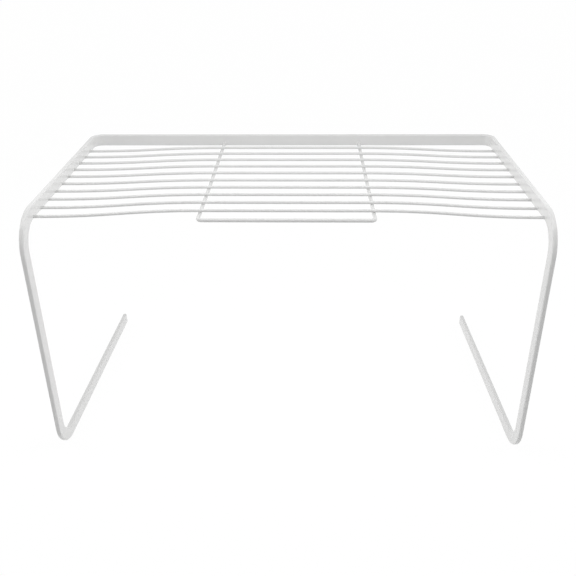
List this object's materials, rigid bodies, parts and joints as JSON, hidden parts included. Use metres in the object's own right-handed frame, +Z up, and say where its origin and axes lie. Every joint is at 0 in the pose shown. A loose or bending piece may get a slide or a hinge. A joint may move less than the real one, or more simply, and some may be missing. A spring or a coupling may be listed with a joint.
{
  "type": "kitchen shelf organizer",
  "caption": "Free-standing wire shelf with a C-shaped side profile: a bent flat bar makes feet, legs and rails, and round wires make the deck.",
  "frame": {"origin": "on the floor plane, under the middle of the bounding box: halfway across the width and halfway between the front of the legs and the rear of the rear rail", "axes": "+X to the right seen from the front, across the width; +Y from the open front to the rear rail; +Z up"},
  "size_m": [0.4002, 0.222, 0.22],
  "materials": {
    "frame_coating": "glossy",
    "support_coating": "glossy",
    "cross_wire_1_coating": "glossy",
    "cross_wire_2_coating": "glossy",
    "cross_wire_3_coating": "glossy",
    "cross_wire_4_coating": "glossy",
    "cross_wire_5_coating": "glossy",
    "cross_wire_6_coating": "glossy",
    "cross_wire_7_coating": "glossy",
    "cross_wire_8_coating": "glossy",
    "cross_wire_9_coating": "glossy",
    "cross_wire_10_coating": "glossy"
  },
  "bodies": {
    "root": {"frame_bar": "frame_coating", "support_wire": "support_coating", "cross_wire_1": "cross_wire_1_coating", "cross_wire_2": "cross_wire_2_coating", "cross_wire_3": "cross_wire_3_coating", "cross_wire_4": "cross_wire_4_coating", "cross_wire_5": "cross_wire_5_coating", "cross_wire_6": "cross_wire_6_coating", "cross_wire_7": "cross_wire_7_coating", "cross_wire_8": "cross_wire_8_coating", "cross_wire_9": "cross_wire_9_coating", "cross_wire_10": "cross_wire_10_coating"}
  },
  "joints": []
}
